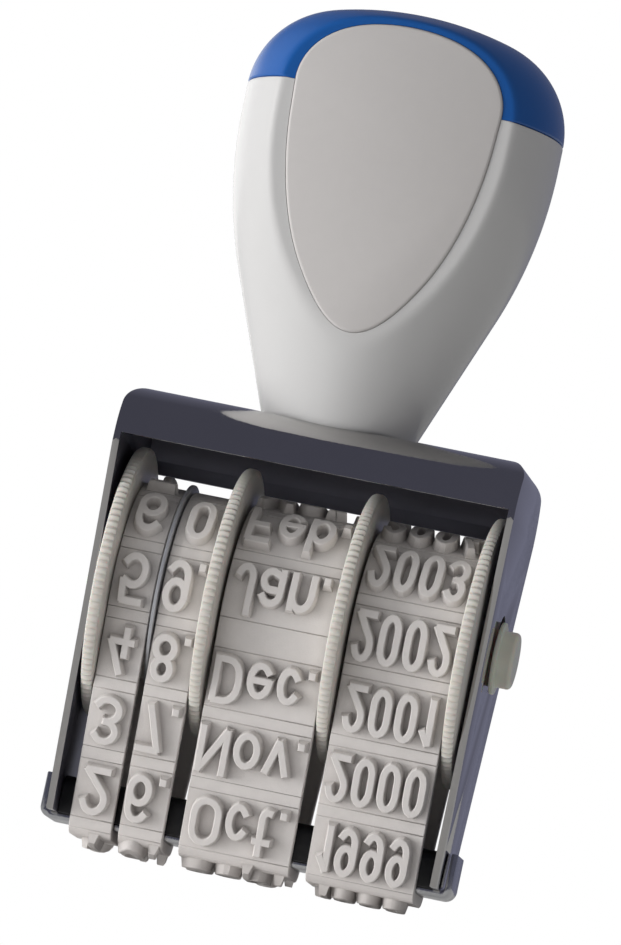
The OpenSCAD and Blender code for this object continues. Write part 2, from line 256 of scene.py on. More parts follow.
# The chrome's inside tone is painted shade on the faces that look into the frame.
CHROME = Finish("frame_chrome_look", "frame_chrome", tone=(192, 190, 188), fleck=(178, 177, 178),
                roughness=0.07, metallic=1.0, fleck_scale=220.0, grain_scale=2500.0, grain_depth=0.000002,
                rough_spread=0.06, inside_shade_tone=(124, 124, 136))
STEEL = Finish("bright_steel_look", "bright_steel", tone=(205, 206, 208), fleck=(180, 182, 186),
               roughness=0.2, metallic=1.0, grain_depth=0.000004, rough_spread=0.1)
ALLOY = Finish("divider_alloy_look", "bright_steel", tone=(206, 208, 212), fleck=(186, 188, 193),
               roughness=0.34, metallic=0.4, grain_depth=0.000004, rough_spread=0.1)
BLACK = Finish("black_plastic_look", "black_plastic", tone=(18, 18, 20), fleck=(30, 30, 33), roughness=0.45)
BUSH = Finish("bush_plastic_look", "bush_plastic", tone=(238, 238, 224), fleck=(226, 228, 208), roughness=0.3,
              subsurface=0.3)
# The wheels and bands darken their recesses with painted shade, partly also dust and ink.
WHEEL = Finish("wheel_plastic_look", "wheel_plastic", tone=(233, 229, 221), fleck=(222, 217, 207),
               roughness=0.32, subsurface=0.1, shade_and_grime=0.35)
RUBBER = Finish("band_rubber_look", "band_rubber", tone=(238, 233, 230), fleck=(226, 221, 218),
                roughness=0.62, fleck_scale=1500.0, shade_and_grime=0.45, grain_scale=7000.0,
                grain_depth=0.00002, rough_spread=0.12)
HANDLE = Finish("handle_plastic_look", "handle_plastic", tone=(223, 222, 221), fleck=(220, 218, 217),
                roughness=0.26, coat=0.2, fleck_scale=300.0, grain_depth=0.000002, rough_spread=0.02)
CAP = Finish("cap_plastic_look", "cap_plastic", tone=(27, 95, 175), fleck=(25, 90, 168), roughness=0.26,
             coat=0.1, fleck_scale=300.0, grain_depth=0.000002, rough_spread=0.02)
PANEL = Finish("panel_plastic_look", "panel_plastic", tone=(219, 215, 213), fleck=(213, 209, 207),
               roughness=0.4, grain_depth=0.000004)


class Piece:
    """Turns a bmesh into a finished object of the scene."""

    @staticmethod
    def make(name: str, bm: bmesh.types.BMesh, finish: Finish, body: str,
             replaces: Sequence[str] = (), sharp: float = 32.0) -> bpy.types.Object:
        """Adds the piece.

        Args:
            name: The piece's name.
            bm: Its mesh, which is used up.
            finish: Its finish.
            body: The CAD body it moves with.
            replaces: CAD nodes it stands for.
            sharp: Edges over this many degrees stay crisp.

        Returns:
            The object.
        """
        for face in bm.faces:
            face.smooth = True
        for edge in bm.edges:
            edge.smooth = len(edge.link_faces) == 2 and edge.calc_face_angle(0.0) < math.radians(sharp)
        mesh = bpy.data.meshes.new(name)
        bm.to_mesh(mesh)
        bm.free()
        obj = bpy.data.objects.new(name, mesh)
        bpy.context.collection.objects.link(obj)
        mesh.materials.append(finish.material())
        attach(obj, body)
        if replaces:
            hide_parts(*replaces)
        LOG.info("%s: %d faces", name, len(mesh.polygons))
        return obj


class Shop:
    """Small jobs on meshes that several pieces need."""

    @staticmethod
    def join(bm: bmesh.types.BMesh, other: bmesh.types.BMesh) -> None:
        """Adds another mesh, which is used up, to bm."""
        mesh = bpy.data.meshes.new("part")
        other.to_mesh(mesh)
        other.free()
        bm.from_mesh(mesh)
        bpy.data.meshes.remove(mesh)

    @staticmethod
    def cut(bm: bmesh.types.BMesh, tool: bmesh.types.BMesh) -> bmesh.types.BMesh:
        """Cuts a tool's shape out of a mesh; both are used up.

        Args:
            bm: The mesh to cut.
            tool: The shape to take away.

        Returns:
            The cut mesh.
        """
        made = []
        for name, part in (("blank", bm), ("tool", tool)):
            mesh = bpy.data.meshes.new(name)
            part.to_mesh(mesh)
            part.free()
            obj = bpy.data.objects.new(name, mesh)
            bpy.context.collection.objects.link(obj)
            made.append(obj)
        knife = made[0].modifiers.new("cut", "BOOLEAN")
        knife.operation = "DIFFERENCE"
        knife.solver = "EXACT"
        knife.object = made[1]
        graph = bpy.context.evaluated_depsgraph_get()
        mesh = bpy.data.meshes.new_from_object(made[0].evaluated_get(graph))
        result = bmesh.new()
        result.from_mesh(mesh)
        for obj in made:
            old = obj.data
            bpy.data.objects.remove(obj)
            bpy.data.meshes.remove(old)
        bpy.data.meshes.remove(mesh)
        return result

    @staticmethod
    def sweep(rings: Sequence[Sequence[Vector]], closed: bool) -> bmesh.types.BMesh:
        """Draws a skin through rings of points.

        Args:
            rings: Rings with the same number of points each.
            closed: Whether the last ring joins the first; otherwise the ends are filled.

        Returns:
            The closed mesh.
        """
        bm = bmesh.new()
        ring = [bm.verts.new(point) for point in rings[0]]
        edges = [bm.edges.new((ring[i - 1], ring[i])) for i in range(len(ring))]
        first = edges
        for points in rings[1:]:
            made = bmesh.ops.extrude_edge_only(bm, edges=edges)["geom"]
            fresh = {item for item in made if isinstance(item, bmesh.types.BMVert)}
            edges = [item for item in made
                     if isinstance(item, bmesh.types.BMEdge) and fresh.issuperset(item.verts)]
            step = {e.other_vert(v): v for v in fresh for e in v.link_edges if e.other_vert(v) not in fresh}
            ring = [step[vert] for vert in ring]
            for vert, point in zip(ring, points):
                vert.co = point
        if closed:
            bmesh.ops.bridge_loops(bm, edges=first + edges)
        else:
            bmesh.ops.holes_fill(bm, edges=first + edges, sides=0)
        bmesh.ops.recalc_face_normals(bm, faces=bm.faces)
        return bm

    @staticmethod
    def merged(node: bpy.types.Object) -> bmesh.types.BMesh:
        """A merged copy of a CAD node, with its flat faces whole.

        Args:
            node: The CAD node.

        Returns:
            The copy's mesh.
        """
        bm = bmesh.new()
        bm.from_mesh(node.data)
        bmesh.ops.remove_doubles(bm, verts=bm.verts, dist=WELD)
        bmesh.ops.dissolve_limit(bm, angle_limit=math.radians(FLAT_DEGREES), verts=bm.verts, edges=bm.edges)
        return bm

    @staticmethod
    def ease(bm: bmesh.types.BMesh, width: float, segments: int = 2, angle: float = 35.0,
             where: Callable[[bmesh.types.BMEdge], bool] = lambda edge: True) -> None:
        """Rounds a mesh's crisp edges.

        Args:
            bm: The mesh, in metres.
            width: Width of the rounded edge in millimetres.
            segments: Faces across it.
            angle: Edges over this many degrees are crisp.
            where: Picks edges.
        """
        crisp = [e for e in bm.edges if len(e.link_faces) == 2
                 and e.calc_face_angle(0.0) > math.radians(angle) and where(e)]
        bmesh.ops.bevel(bm, geom=crisp, offset=width * MM, offset_type="OFFSET", affect="EDGES",
                        segments=segments, profile=ROUND, material=-1, clamp_overlap=True)


@dataclass
class BandPath:
    """The closed way of a type band round its drum and the nose, in the plane across X."""

    axle_z: float = 23.8
    drum_r: float = 8.15
    nose_y: float = 2.6
    nose_z: float = 2.5
    nose_r: float = 0.6
    thick: float = 1.0

    def __post_init__(self) -> None:
        """Works out the angles and lengths of the way."""
        gap = math.hypot(self.nose_y, self.axle_z - self.nose_z)
        self.angle = math.atan(self.nose_y / (self.axle_z - self.nose_z))
        self.angle += math.acos((self.drum_r - self.nose_r) / gap)
        run = math.sqrt(gap ** 2 - (self.drum_r - self.nose_r) ** 2)
        self.corner_end = self.nose_y + (self.nose_r + self.thick) * self.angle
        self.run_end = self.corner_end + run
        self.half = self.run_end + (self.drum_r + self.thick) * (math.pi - self.angle)

    def at(self, s: float, rise: float) -> tuple[float, float]:
        """A point of the band.

        Args:
            s: Way along the outer face from the middle of the nose, positive up the front.
            rise: Height over the band's inner face.

        Returns:
            Its y and z.
        """
        way = abs(s)
        side = -1.0 if s >= 0 else 1.0
        if way <= self.nose_y:
            y, z = way, self.nose_z - self.nose_r - rise
        elif way <= self.corner_end:
            turn = (way - self.nose_y) / (self.nose_r + self.thick)
            y = self.nose_y + (self.nose_r + rise) * math.sin(turn)
            z = self.nose_z - (self.nose_r + rise) * math.cos(turn)
        elif way <= self.run_end:
            along = way - self.corner_end
            y = self.nose_y + (self.nose_r + rise) * math.sin(self.angle) + along * math.cos(self.angle)
            z = self.nose_z - (self.nose_r + rise) * math.cos(self.angle) + along * math.sin(self.angle)
        else:
            turn = self.angle + (way - self.run_end) / (self.drum_r + self.thick)
            y = (self.drum_r + rise) * math.sin(turn)
            z = self.axle_z - (self.drum_r + rise) * math.cos(turn)
        return side * y, z


@dataclass(frozen=True)
class Arc:
    """A round stretch of a stroke in shares of the character's box, with angles in degrees."""

    x: float
    y: float
    rx: float
    ry: float
    start: float
    end: float

    def points(self) -> list[Vector]:
        """Points along the stretch, ends included."""
        count = max(2, round(abs(self.end - self.start) / ARC_DEGREES))
        turns = [math.radians(self.start + (self.end - self.start) * i / count) for i in range(count + 1)]
        return [Vector((self.x + self.rx * math.cos(t), self.y + self.ry * math.sin(t))) for t in turns]


Stroke = list[Union[Arc, tuple[float, float]]]
OVAL: Stroke = [Arc(0.5, 0.68, 0.5, 0.32, 0, 180), Arc(0.5, 0.32, 0.5, 0.32, 180, 360), (1, 0.68)]
BOWL: Stroke = [Arc(0.5, 0.36, 0.5, 0.36, 0, 360)]
STEM: Stroke = [(0, 0.72), (0, 0)]
CHARACTERS: dict[str, tuple[float, list[Stroke]]] = {
    "0": (1.0, [OVAL]),
    "1": (0.42, [[(0, 0.74), (1, 1), (1, 0)]]),
    "2": (1.0, [[Arc(0.5, 0.7, 0.5, 0.3, 165, -35), (0, 0), (1, 0)]]),
    "3": (1.0, [[Arc(0.45, 0.76, 0.5, 0.24, 150, -90)], [Arc(0.45, 0.26, 0.55, 0.26, 90, -150)]]),
    "4": (1.0, [[(0.6, 1), (0, 0.28), (1, 0.28)], [(0.72, 0.6), (0.72, 0)]]),
    "5": (1.0, [[(0.95, 1), (0.1, 1), (0.04, 0.55), Arc(0.48, 0.32, 0.52, 0.32, 115, -145)]]),
    "6": (1.0, [[Arc(0.5, 0.7, 0.5, 0.3, 35, 180), (0, 0.3)], [Arc(0.5, 0.3, 0.5, 0.3, 0, 360)]]),
    "7": (1.0, [[(0, 1), (1, 1), (0.35, 0)]]),
    "8": (1.0, [[Arc(0.5, 0.76, 0.44, 0.24, 0, 360)], [Arc(0.5, 0.26, 0.5, 0.26, 0, 360)]]),
    "9": (1.0, [[Arc(0.5, 0.3, 0.5, 0.3, 215, 360), (1, 0.7)], [Arc(0.5, 0.7, 0.5, 0.3, 0, 360)]]),
    ".": (0.12, [[(0.5, 0), (0.5, 0.03)]]),
    "A": (1.2, [[(0, 0), (0.5, 1), (1, 0)], [(0.2, 0.32), (0.8, 0.32)]]),
    "D": (1.15, [[(0, 0), (0, 1), Arc(0.45, 0.6, 0.55, 0.4, 90, 0), Arc(0.45, 0.4, 0.55, 0.4, 0, -90),
                  (0, 0)]]),
    "F": (0.95, [[(0, 0), (0, 1), (1, 1)], [(0, 0.52), (0.8, 0.52)]]),
    "J": (0.7, [[(1, 1), Arc(0.5, 0.25, 0.5, 0.25, 0, -160)]]),
    "M": (1.35, [[(0, 0), (0, 1), (0.5, 0.3), (1, 1), (1, 0)]]),
    "N": (1.2, [[(0, 0), (0, 1), (1, 0), (1, 1)]]),
    "O": (1.2, [OVAL]),
    "S": (1.05, [[Arc(0.5, 0.755, 0.46, 0.245, 25, 270), Arc(0.5, 0.255, 0.5, 0.255, 90, -155)]]),
    "a": (0.95, [[Arc(0.5, 0.5, 0.46, 0.22, 155, 0), (0.96, 0)],
                 [(0.96, 0.42), Arc(0.42, 0.21, 0.42, 0.21, 90, 270), (0.96, 0.1)]]),
    "b": (0.95, [[(0, 1), (0, 0)], BOWL]),
    "c": (0.85, [[Arc(0.5, 0.36, 0.5, 0.36, 40, 320)]]),
    "e": (0.95, [[(0.1, 0.36), (0.9, 0.36)], [Arc(0.5, 0.36, 0.5, 0.36, 0, 320)]]),
    "g": (0.95, [BOWL, [(1, 0.72), Arc(0.5, -0.02, 0.5, 0.2, 0, -150)]]),
    "l": (0.2, [[(0.5, 1), (0.5, 0)]]),
    "n": (0.95, [STEM, [(0, 0.4), Arc(0.5, 0.42, 0.5, 0.3, 180, 0), (1, 0)]]),
    "o": (1.0, [BOWL]),
    "p": (0.95, [[(0, 0.72), (0, -0.22)], BOWL]),
    "r": (0.6, [STEM, [(0, 0.38), Arc(0.7, 0.4, 0.7, 0.32, 180, 75)]]),
    "t": (0.6, [[(0.35, 1), Arc(0.75, 0.16, 0.4, 0.16, 180, 290)], [(0, 0.72), (1, 0.72)]]),
    "u": (0.95, [[(0, 0.72), Arc(0.5, 0.3, 0.5, 0.3, 180, 360)], [(1, 0.72), (1, 0)]]),
    "v": (0.95, [[(0, 0.72), (0.5, 0), (1, 0.72)]]),
    "y": (0.95, [[(0, 0.72), (0.5, 0.04)], [(1, 0.72), (0.36, -0.22)]]),
}


@dataclass
class TypeBand:
    """One endless rubber band with raised, upside-down characters."""

    name: str
    x: float
    width: float
    words: dict[int, str]
    digit_w: float
    shift: float = 0.4
    joint_row: int = 99
    joint_gap: float = 1.7
    path: BandPath = field(default_factory=BandPath)
    pitch: float = 6.36455
    relief: float = 0.9
    root: float = 0.2
    tall: float = 4.4
    stem: float = 0.64
    draft: float = 0.19
    ease: float = 0.07
    gap: float = 0.36
    row_tall: float = 5.3
    line_w: float = 0.07
    line_d: float = 0.09
    step: float = 0.5
    lift: float = 0.006
    corner: float = 50.0
    corner_tip: float = 0.5
    sharpest: float = 0.62
    rings: int = 240

    def spot(self, x: float, s: float, rise: float) -> Vector:
        """A point of the band in metres.

        Args:
            x: Place across the band in millimetres.
            s: Way from the middle of the nose.
            rise: Height over the band's inner face.

        Returns:
            The point.
        """
        y, z = self.path.at(s, rise)
        return Vector((x, y, z)) * MM

    def place(self, row: int) -> float:
        """Way from the middle of the nose to a row's middle."""
        return row * self.pitch + self.shift + (self.joint_gap if row >= self.joint_row else 0.0)

    def strip(self) -> bmesh.types.BMesh:
        """The rubber strip, with a fine moulded line over and under each row.

        Returns:
            Its mesh.
        """
        half = self.path.half
        cuts = {half * (2 * i / self.rings - 1): 0.0 for i in range(self.rings)}
        for row in self.words:
            for line in (self.place(row) - self.row_tall / 2, self.place(row) + self.row_tall / 2):
                if abs(line) < half - self.line_w:
                    cuts.update({line - self.line_w: 0.0, line: self.line_d, line + self.line_w: 0.0})
        left, right, ease = self.x, self.x + self.width, self.ease
        rings = []
        for s, deep in sorted(cuts.items()):
            high = self.path.thick - deep
            section = [(left, high - ease), (left + ease, high), (right - ease, high), (right, high - ease),
                       (right, ease), (right - ease, 0.0), (left + ease, 0.0), (left, ease)]
            rings.append([self.spot(x, s, rise) for x, rise in section])
        return Shop.sweep(rings, closed=True)

    def trace(self, stroke: Stroke, width: float) -> list[Vector]:
        """A stroke's middle line in millimetres, from the character's lower left.

        Args:
            stroke: The stroke in shares of the character's box.
            width: The character's width.

        Returns:
            Its points, close enough to bend.
        """
        corners: list[Vector] = []
        for item in stroke:
            corners += item.points() if isinstance(item, Arc) else [Vector(item)]
        edge = self.stem / 2
        scale = Vector((width - self.stem, self.tall - self.stem))
        corners = [Vector((edge + p.x * scale.x, edge + p.y * scale.y)) for p in corners]
        line = corners[:1]
        for point in corners[1:]:
            way = point - line[-1]
            if way.length > TINY:
                parts = math.ceil(way.length / self.step)
                start = line[-1]
                line += [start + way * (i / parts) for i in range(1, parts + 1)]
        return line

    def parts(self, line: Sequence[Vector]) -> list[list[Vector]]:
        """Parts a stroke at its sharp corners.

        Args:
            line: The stroke's middle line.

        Returns:
            The lines of its parts.
        """
        cut = [list(line[:1])]
        for before, point, after in zip(line, line[1:], line[2:]):
            cut[-1].append(point)
            if (point - before).angle(after - point) > math.radians(self.corner):
                cut.append([point])
        cut[-1].append(line[-1])
        return cut

    def ribbon(self, line: Sequence[Vector], tips: tuple[float, float], left: float, middle: float,
               lift: float) -> bmesh.types.BMesh:
        """A raised stroke with sloping sides.

        Args:
            line: The stroke's middle line.
            tips: How far it runs on past its first and last point, in half stems.
            left: Where the character starts across the band.
            middle: Way from the nose to the row's middle.
            lift: Extra height, so that crossing strokes don't share a top face.

        Returns:
            Its mesh.
        """
        closed = (line[0] - line[-1]).length < TINY
        points = list(line[:-1]) if closed else list(line)
        half, high = self.stem / 2, self.path.thick + self.relief + lift
        section = [(half + self.draft, self.path.thick - self.root), (half, high - self.ease),
                   (half - self.ease, high)]
        rings = []
        for i, point in enumerate(points):
            before = points[i - 1] if closed or i else point
            after = points[(i + 1) % len(points)] if closed or i + 1 < len(points) else point
            into = (point - before).normalized()
            out = (after - point).normalized()
            way = (into + out).normalized()
            mitre = 1 / max(self.sharpest, way.dot(out if after is not point else into))
            across = Vector((-way.y, way.x)) * mitre
            end = 0 if closed else (i + 1 == len(points)) * tips[1] - (i == 0) * tips[0]
            ring = []
            for side in (1, -1):
                for out_by, rise in section[::side]:
                    spot = point + across * out_by * side + way * out_by * end
                    ring.append(self.spot(left + spot.x, middle + self.tall / 2 - spot.y, rise))
            rings.append(ring)
        return Shop.sweep(rings, closed)

    def word(self, text: str, row: int) -> list[bmesh.types.BMesh]:
        """One row of raised characters.

        Args:
            text: The characters.
            row: The row, counted from the nose up the front.

        Returns:
            The mesh of each stroke.
        """
        widths = [self.stem + CHARACTERS[sign][0] * (self.digit_w - self.stem) for sign in text]
        left = self.x + (self.width - sum(widths) - self.gap * (len(text) - 1)) / 2
        strokes = []
        for sign, width in zip(text, widths):
            drop = 0.0
            for stroke in CHARACTERS[sign][1]:
                parts = self.parts(self.trace(stroke, width))
                for i, part in enumerate(parts):
                    tips = (self.corner_tip if i else 1.0, self.corner_tip if i + 1 < len(parts) else 1.0)
                    strokes.append(self.ribbon(part, tips, left, self.place(row), -drop))
                    drop += self.lift
            left += width + self.gap
        return strokes

    def build(self) -> bpy.types.Object:
        """Builds the band with all its rows.

        Returns:
            The band's object.
        """
        bm = self.strip()
        for row, text in self.words.items():
            for stroke in self.word(text, row):
                Shop.join(bm, stroke)
        return Piece.make(f"type_band_{self.name}", bm, RUBBER, "stamp", [f"band_{self.name}"])


class RimSide(Enum):
    """The end of a drum that carries the thumb rim."""

    LEFT = -1
    RIGHT = 1


@dataclass
class SettingWheel:
    """A drum with a finely toothed thumb rim at one end."""

    name: str
    x: float
    drum_w: float
    side: RimSide
    axle_z: float = 23.8
    bore_r: float = 2.05
    drum_r: float = 8.0
    rim_r: float = 12.2
    rim_w: float = 1.2
    teeth: int = 120
    tooth_d: float = 0.24
    tooth_points: int = 4
    face_in: float = 0.85
    crest_in: tuple[float, float] = (0.42, 0.12)
    crest_side: tuple[float, float, float] = (0.03, 0.14, 0.36)
    slope_share: float = 0.7

    def rings(self) -> list[tuple[float, float, float]]:
        """The wheel's outline from bore to bore as radius, place along the axle and share of tooth depth."""
        r, w = self.rim_r, self.rim_w
        low, high = (r - drop for drop in self.crest_in)
        a, b, c = self.crest_side
        crest = [(r - self.face_in, 0.0, 0.0), (low, a, 0.0), (high, b, self.slope_share), (r, c, 1.0)]
        rim = [(self.bore_r, 0.0, 0.0)] + crest + [(at, w - x, share) for at, x, share in reversed(crest)]
        rim += [(self.drum_r, w, 0.0), (self.drum_r, w + self.drum_w, 0.0)]
        rim += [(self.bore_r, w + self.drum_w, 0.0)]
        if self.side is RimSide.LEFT:
            return [(at, self.x - w + x, share) for at, x, share in rim]
        return [(at, self.x + self.drum_w + w - x, share) for at, x, share in rim]

    def build(self) -> bpy.types.Object:
        """Builds the wheel.

        Returns:
            Its object.
        """
        count = self.teeth * self.tooth_points
        rings = []
        for r, x, share in self.rings():
            ring = []
            for i in range(count):
                turn = 2 * math.pi * i / count
                at = r - share * self.tooth_d * (1 - abs(math.sin(self.teeth * turn / 2)))
                ring.append(Vector((x, at * math.cos(turn), self.axle_z + at * math.sin(turn))) * MM)
            rings.append(ring)
        bm = Shop.sweep(rings, closed=True)
        body = f"wheel_{self.name}"
        return Piece.make(f"setting_wheel_{self.name}", bm, WHEEL, body, [body])


@dataclass
class FrameShell:
    """The folded sheet frame with rolled shoulders."""

    wall_x: float = 17.55
    shoulder_z: float = 35.6
    shoulder_ease: float = 0.8
    shoulder_rows: int = 4
    shoulder_degrees: float = 20.0
    edge_ease: float = 0.1
    lip_y: float = 9.0
    lip_z: float = 36.0
    lip_near: float = 0.1
    rear_lip: float = 1.2
    facing_down: float = -0.9
    leaning_down: float = -0.3
    roof_z: float = 39.99
    middle_z: float = 25.0

    def build(self, node: bpy.types.Object) -> bpy.types.Object:
        """Builds the frame from its CAD node.

        Args:
            node: The CAD node.

        Returns:
            Its object.
        """
        bm = Shop.merged(node)
        under = [f for f in bm.faces
                 if f.normal.z < self.facing_down and f.calc_center_median().y > self.lip_y * MM
                 and abs(f.calc_center_median().z - self.lip_z * MM) < self.lip_near * MM]
        made = bmesh.ops.extrude_face_region(bm, geom=under)["geom"]
        bmesh.ops.translate(bm, verts=[v for v in made if isinstance(v, bmesh.types.BMVert)],
                            vec=(0, 0, -self.rear_lip * MM))
        Shop.ease(bm, self.shoulder_ease, self.shoulder_rows, self.shoulder_degrees, self.on_shoulder)
        Shop.ease(bm, self.edge_ease)
        self.mark_inside(bm)
        return Piece.make("frame_shell", bm, CHROME, "stamp", ["frame"])

    def mark_inside(self, bm: bmesh.types.BMesh) -> None:
        """Marks the faces that look into the frame, which get a painted shade and a duller plating."""
        bm.normal_update()
        layer = bm.faces.layers.float.new("inside")
        middle = Vector((0, 0, self.middle_z)) * MM
        for face in bm.faces:
            at = face.calc_center_median()
            front_rim = face.normal.z < self.leaning_down and at.y < -self.lip_y * MM
            face[layer] = float(face.normal.dot(middle - at) > 0 and not front_rim)

    def on_shoulder(self, edge: bmesh.types.BMEdge) -> bool:
        """Whether an edge runs where the shoulder roll meets a side plate."""
        return all(v.co.z > self.shoulder_z * MM
                   and (abs(v.co.x) > self.wall_x * MM or v.co.z > self.roof_z * MM) for v in edge.verts)


@dataclass
class HandleGrip:
    """The turned handle with two flats, its coloured cap and its inlaid front panel."""

    crown_z: float = 40.7
    crown_roll: float = 5.0
    roll_y: float = 5.0
    base_r: float = 6.9
    grip_r: float = 14.35
    handle_h: float = 37.8
    grip_drop: float = 11.0
    cap_h: float = 8.75
    flank_r: float = 40.0
    corner_r: float = 8.0
    dome_r: float = 30.0
    flat_y: float = 9.7
    soft: float = 0.42
    border: float = 0.62
    side_border: float = 0.88
    groove: float = 0.03
    panel_proud: float = 0.2
    panel_ease: float = 0.28
    panel_rows: int = 3
    panel_seat: float = 0.68
    pocket_seat: float = 0.7
    pocket_reach: float = 1.0
    twist: float = 2.0
    seam: float = 0.04
    seam_ease: float = 0.16
    seam_bend: float = 0.05
    foot_ease: float = 0.12
    foot_drop: float = 0.02
    steps: int = 384
    rows: int = 96
    corner_rows: int = 27
    dome_rows: int = 16
    panel_points: int = 160
    panel_span: float = 0.012

    def __post_init__(self) -> None:
        """Works out the outline's arcs."""
        self.grip_z = self.handle_h - self.grip_drop
        self.cap_z = self.handle_h - self.cap_h
        self.flank_x = self.grip_r - self.flank_r
        reach = math.hypot(self.base_r - self.flank_x, self.grip_z)
        self.lean = math.atan(self.grip_z / (self.base_r - self.flank_x)) - math.acos(self.flank_r / reach)
        self.flank_z = self.grip_z - self.flank_r * math.sin(self.lean)
        self.dome_z = self.handle_h - self.dome_r
        self.corner_x = self.grip_r - self.corner_r
        rise = math.sqrt((self.dome_r - self.corner_r) ** 2 - self.corner_x ** 2)
        self.corner_z = self.dome_z + rise
        share = self.dome_r / (self.dome_r - self.corner_r)
        self.dome_x = share * self.corner_x
        self.dome_from = self.dome_z + share * rise

    def radius(self, z: float) -> float:
        """The turned radius at a height over the crown."""
        def chord(r: float, rise: float) -> float:
            """Half chord of a circle of radius r at a rise."""
            return math.sqrt(max(0.0, r * r - rise * rise))
        if z < self.flank_z:
            return self.base_r + z * math.tan(self.lean)
        if z < self.grip_z:
            return self.flank_x + chord(self.flank_r, self.grip_z - z)
        if z < self.corner_z:
            return self.grip_r
        if z < self.dome_from:
            return self.corner_x + chord(self.corner_r, z - self.corner_z)
        return chord(self.dome_r, z - self.dome_z)

    def turned(self, outline: Sequence[tuple[float, float]]) -> bmesh.types.BMesh:
        """Turns an outline and presses it flat in front and behind, with soft creases.

        Args:
            outline: Radius and height over the crown, from below.

        Returns:
            The closed mesh, in millimetres over the crown.
        """
        bm = bmesh.new()
        verts = [bm.verts.new((r, 0, z)) for r, z in outline]
        for a, b in zip(verts, verts[1:]):
            bm.edges.new((a, b))
        bmesh.ops.spin(bm, geom=bm.verts[:] + bm.edges[:], cent=(0, 0, 0), axis=(0, 0, 1), dvec=(0, 0, 0),
                       angle=2 * math.pi, steps=self.steps, use_merge=True, use_duplicate=False)
        bmesh.ops.remove_doubles(bm, verts=bm.verts, dist=TINY)
        for vert in bm.verts:
            out = abs(vert.co.y)
            if out > self.flat_y + self.soft:
                out = self.flat_y
            elif out > self.flat_y - self.soft:
                out -= (out - self.flat_y + self.soft) ** 2 / (4 * self.soft)
            vert.co.y = math.copysign(out, vert.co.y)
        bmesh.ops.holes_fill(bm, edges=[e for e in bm.edges if e.is_boundary], sides=0)
        bmesh.ops.recalc_face_normals(bm, faces=bm.faces)
        return self._screw_on(bm)

    def _screw_on(self, bm: bmesh.types.BMesh) -> bmesh.types.BMesh:
        """Turns a mesh about the screw's axis, as the handle sits on the frame."""
        turn = Matrix.Rotation(math.radians(self.twist), 3, "Z")
        bmesh.ops.rotate(bm, verts=bm.verts, cent=(0, 0, 0), matrix=turn)
        return bm

    def edge(self, share: float, border: float) -> tuple[float, float]:
        """A point of the panel's edge.

        Args:
            share: 0 at its foot, 1 at its top, and on to 2 down the other side.
            border: How far it lies inside the flat's edge.

        Returns:
            Its x and its height over the crown.
        """
        low = (self.flat_y - self.base_r) / math.tan(self.lean)
        high = self.corner_z + math.sqrt(self.corner_r ** 2 - (self.flat_y - self.corner_x) ** 2)

        def rim(at: float) -> Vector:
            """A point of the flat's own edge."""
            z = low + (high - low) * (1 - math.cos(math.pi * at)) / 2
            half = math.sqrt(max(0.0, self.radius(z) ** 2 - self.flat_y ** 2))
            return Vector((math.copysign(half, math.sin(math.pi * at)), z))
        way = rim(share + self.panel_span) - rim(share - self.panel_span)
        inward = border + self.side_border * math.sin(math.pi * share) ** 2
        point = rim(share) + inward * Vector((-way.y, way.x)).normalized()
        return point.x, point.y

    def plate(self, border: float, near: float, far: float) -> bmesh.types.BMesh:
        """A plate of the panel's outline.

        Args:
            border: How far its edge lies inside the flat's edge.
            near: The front face's distance from the middle.
            far: The rear face's distance from the middle.

        Returns:
            Its mesh, in millimetres over the crown.
        """
        bm = bmesh.new()
        verts = []
        for i in range(self.panel_points):
            x, z = self.edge(2 * i / self.panel_points, border)
            verts.append(bm.verts.new((x, -near, z)))
        face = bm.faces.new(verts)
        made = bmesh.ops.extrude_face_region(bm, geom=[face], use_keep_orig=True)["geom"]
        bmesh.ops.translate(bm, verts=[v for v in made if isinstance(v, bmesh.types.BMVert)],
                            vec=(0, near - far, 0))
        bmesh.ops.recalc_face_normals(bm, faces=bm.faces)
        return bm

    def _place(self, bm: bmesh.types.BMesh) -> bmesh.types.BMesh:
        """Moves a mesh from millimetres over the crown to its place."""
        bmesh.ops.translate(bm, verts=bm.verts, vec=(0, 0, self.crown_z))
        bmesh.ops.scale(bm, verts=bm.verts, vec=(MM, MM, MM))
        return bm

    def pocket(self) -> bmesh.types.BMesh:
        """The tool that cuts the panel's pocket."""
        near, far = self.flat_y + self.pocket_reach, self.flat_y - self.pocket_seat
        return self._screw_on(self.plate(self.border - self.groove, near, far))

    def seam_round(self) -> list[tuple[float, float]]:
        """The rounding beside the cap's seam, as distances inward and from the seam."""
        return [(self.seam_ease, 0.0), (self.seam_bend, self.seam_bend), (0.0, self.seam_ease)]

    def body(self) -> bpy.types.Object:
        """The pale handle under the cap.

        Returns:
            Its object.
        """
        top = self.cap_z - self.seam
        heights = [self.foot_ease] + [top * i / self.rows for i in range(1, self.rows)]
        outline = [(self.base_r - self.foot_ease, -self.foot_drop)]
        outline += [(self.radius(z), z) for z in heights]
        outline += [(self.radius(top) - x, top - z) for x, z in reversed(self.seam_round())]
        bm = self.turned(outline)
        for vert in bm.verts:
            if vert.co.z < 0:
                over = max(0.0, abs(vert.co.y) - self.roll_y)
                drop = self.crown_roll - math.sqrt(self.crown_roll ** 2 - over ** 2)
                vert.co.z -= drop
                vert.co.x *= 1 - drop * math.tan(self.lean) / self.base_r
                vert.co.y *= 1 - drop * math.tan(self.lean) / self.base_r
        bm = Shop.cut(bm, self.pocket())
        return Piece.make("handle_grip", self._place(bm), HANDLE, "stamp", ["handle_body"])

